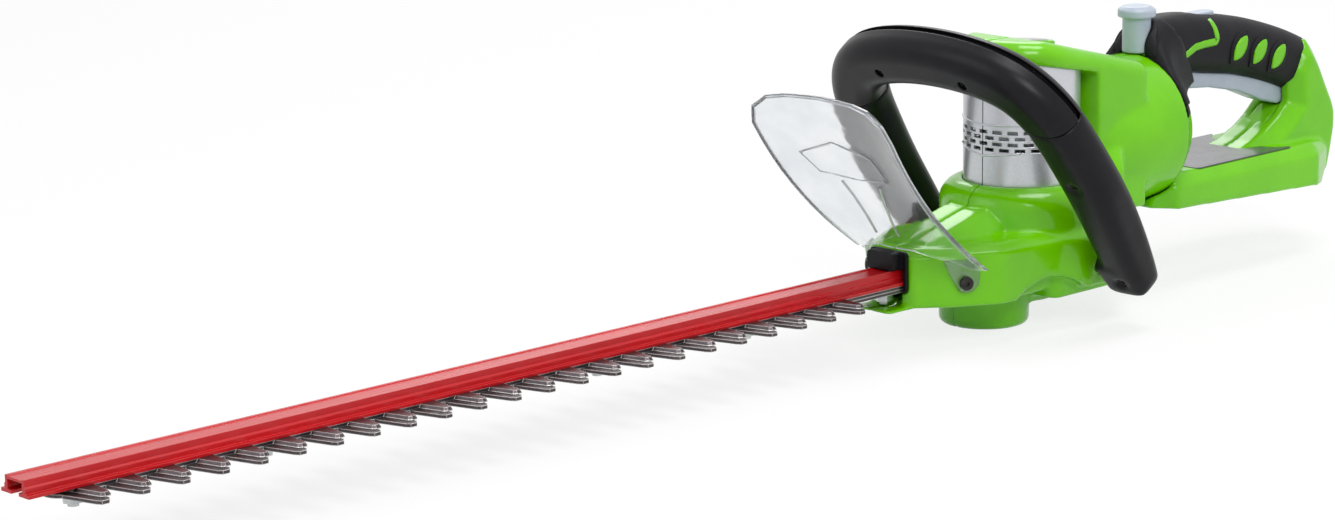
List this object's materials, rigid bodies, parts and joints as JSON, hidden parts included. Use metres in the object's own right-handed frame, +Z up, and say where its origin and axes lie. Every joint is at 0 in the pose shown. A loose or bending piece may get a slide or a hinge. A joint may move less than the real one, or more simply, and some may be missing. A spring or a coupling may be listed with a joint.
{
  "type": "hedge trimmer",
  "caption": "Cordless hedge trimmer: a long double-sided reciprocating toothed bar, upright motor, leaning loop handle with clear guard, and a turning rear handle over a battery bay.",
  "frame": {"origin": "on the flat face of the foot, straight below the motor's axis and on the tool's centre plane", "axes": "+X runs back to the rear handle (the cutting bar points along -X), +Y is across the tool, +Z is up along the motor's axis"},
  "size_m": [1.03, 0.2008, 0.1864],
  "materials": {
    "green_shell": "glossy lime moulding",
    "black_shell": "satin black moulding",
    "soft_grip": "soft matt overmould",
    "silver_cover": "silver metallic paint",
    "grey_control": "pale blue-grey moulding",
    "dark_window": "dark inset",
    "clear_guard": "clear moulded sheet",
    "red_bar": "red paint",
    "blade_steel": "ground and blackened steel",
    "zinc_steel": "zinc-plated fastener",
    "gear_steel": "cut gear steel",
    "cast_case": "die-cast",
    "motor_steel": "drawn steel",
    "magnet": "sintered magnet",
    "copper_alloy": "copper alloy",
    "spring_steel": "spring wire",
    "nylon": "black nylon"
  },
  "bodies": {
    "body": {"housing_left": "green_shell", "housing_right": "green_shell", "housing_screws": "zinc_steel", "top_window": "dark_window", "motor_cover": "silver_cover", "nose_boot": "black_shell", "hand_guard": "clear_guard", "guard_screws": "zinc_steel", "front_handle_leg_left": "black_shell", "front_handle_leg_right": "black_shell", "front_handle_top_shell": "black_shell", "front_switch": "nylon", "front_handle_screws": "zinc_steel", "front_handle_bolts": "zinc_steel", "guide_bar": "red_bar", "blade_bolts": "zinc_steel", "blade_washers": "zinc_steel", "blade_nuts": "zinc_steel", "gear_bearings": "gear_steel", "gear_case": "cast_case", "gear_case_cover": "cast_case", "gear_case_screws": "zinc_steel", "motor_can": "motor_steel", "motor_magnets": "magnet", "motor_end_cap": "nylon", "motor_bearings": "gear_steel", "swivel_tube": "nylon"},
    "upper_blade": {"upper_blade": "blade_steel"},
    "lower_blade": {"lower_blade": "blade_steel"},
    "gear_train": {"drive_gear": "gear_steel", "upper_eccentric": "gear_steel", "lower_eccentric": "gear_steel", "gear_shaft": "gear_steel"},
    "rotor": {"pinion_gear": "gear_steel", "rotor_shaft": "gear_steel", "armature_core": "motor_steel", "commutator": "copper_alloy", "cooling_fan": "nylon"},
    "switch_bar": {"front_switch_bar": "black_shell", "front_switch_springs": "spring_steel"},
    "rear_handle": {"rear_handle_left": "green_shell", "rear_handle_right": "green_shell", "grip_overmould": "soft_grip", "rear_handle_screws": "zinc_steel", "trigger_pin": "zinc_steel", "main_switch": "nylon", "battery_terminal_block": "nylon", "battery_terminals": "copper_alloy"},
    "trigger": {"trigger": "grey_control", "trigger_spring": "spring_steel"},
    "lock_off": {"lock_off_button": "grey_control", "lock_off_spring": "spring_steel"},
    "rotation_lock": {"rotation_lock": "grey_control", "rotation_lock_spring": "spring_steel"}
  },
  "joints": [
    {"name": "upper_blade_slide", "type": "slide", "parent": "body", "child": "upper_blade", "axis": [1, 0, 0], "range_m": [-0.002, 0.01]},
    {"name": "lower_blade_slide", "type": "slide", "parent": "body", "child": "lower_blade", "axis": [1, 0, 0], "range_m": [-0.01, 0.002]},
    {"name": "gear_spin", "type": "hinge", "parent": "body", "child": "gear_train", "pos_m": [-0.0336, 0, 0.041], "axis": [0, 0, 1], "continuous": true},
    {"name": "rotor_spin", "type": "hinge", "parent": "body", "child": "rotor", "pos_m": [0, 0, 0.09], "axis": [0, 0, 1], "continuous": true},
    {"name": "switch_bar_press", "type": "slide", "parent": "body", "child": "switch_bar", "axis": [-0.8231, 0, -0.5678], "range_m": [0, 0.004], "stiffness_N_per_m": 1500, "springref_m": -0.004},
    {"name": "rear_handle_turn", "type": "hinge", "parent": "body", "child": "rear_handle", "pos_m": [0.106, 0, 0.101], "axis": [1, 0, 0], "range_deg": [-90, 90]},
    {"name": "trigger_squeeze", "type": "hinge", "parent": "rear_handle", "child": "trigger", "pos_m": [0.148, 0, 0.1255], "axis": [0, -1, 0], "range_deg": [0, 4], "stiffness_Nm_per_rad": 0.8, "springref_deg": -11.46},
    {"name": "lock_off_press", "type": "slide", "parent": "rear_handle", "child": "lock_off", "axis": [0, 0, -1], "range_m": [0, 0.0025], "stiffness_N_per_m": 500, "springref_m": -0.004, "deforming": ["lock_off_spring"]},
    {"name": "rotation_lock_pull", "type": "slide", "parent": "rear_handle", "child": "rotation_lock", "axis": [0, 0, 1], "range_m": [0, 0.005], "stiffness_N_per_m": 900, "springref_m": -0.004, "deforming": ["rotation_lock_spring"]}
  ],
  "couplings": [
    {"joint": "lower_blade_slide", "follows": "upper_blade_slide", "ratio": -1},
    {"joint": "rotor_spin", "follows": "gear_spin", "ratio": -7}
  ]
}
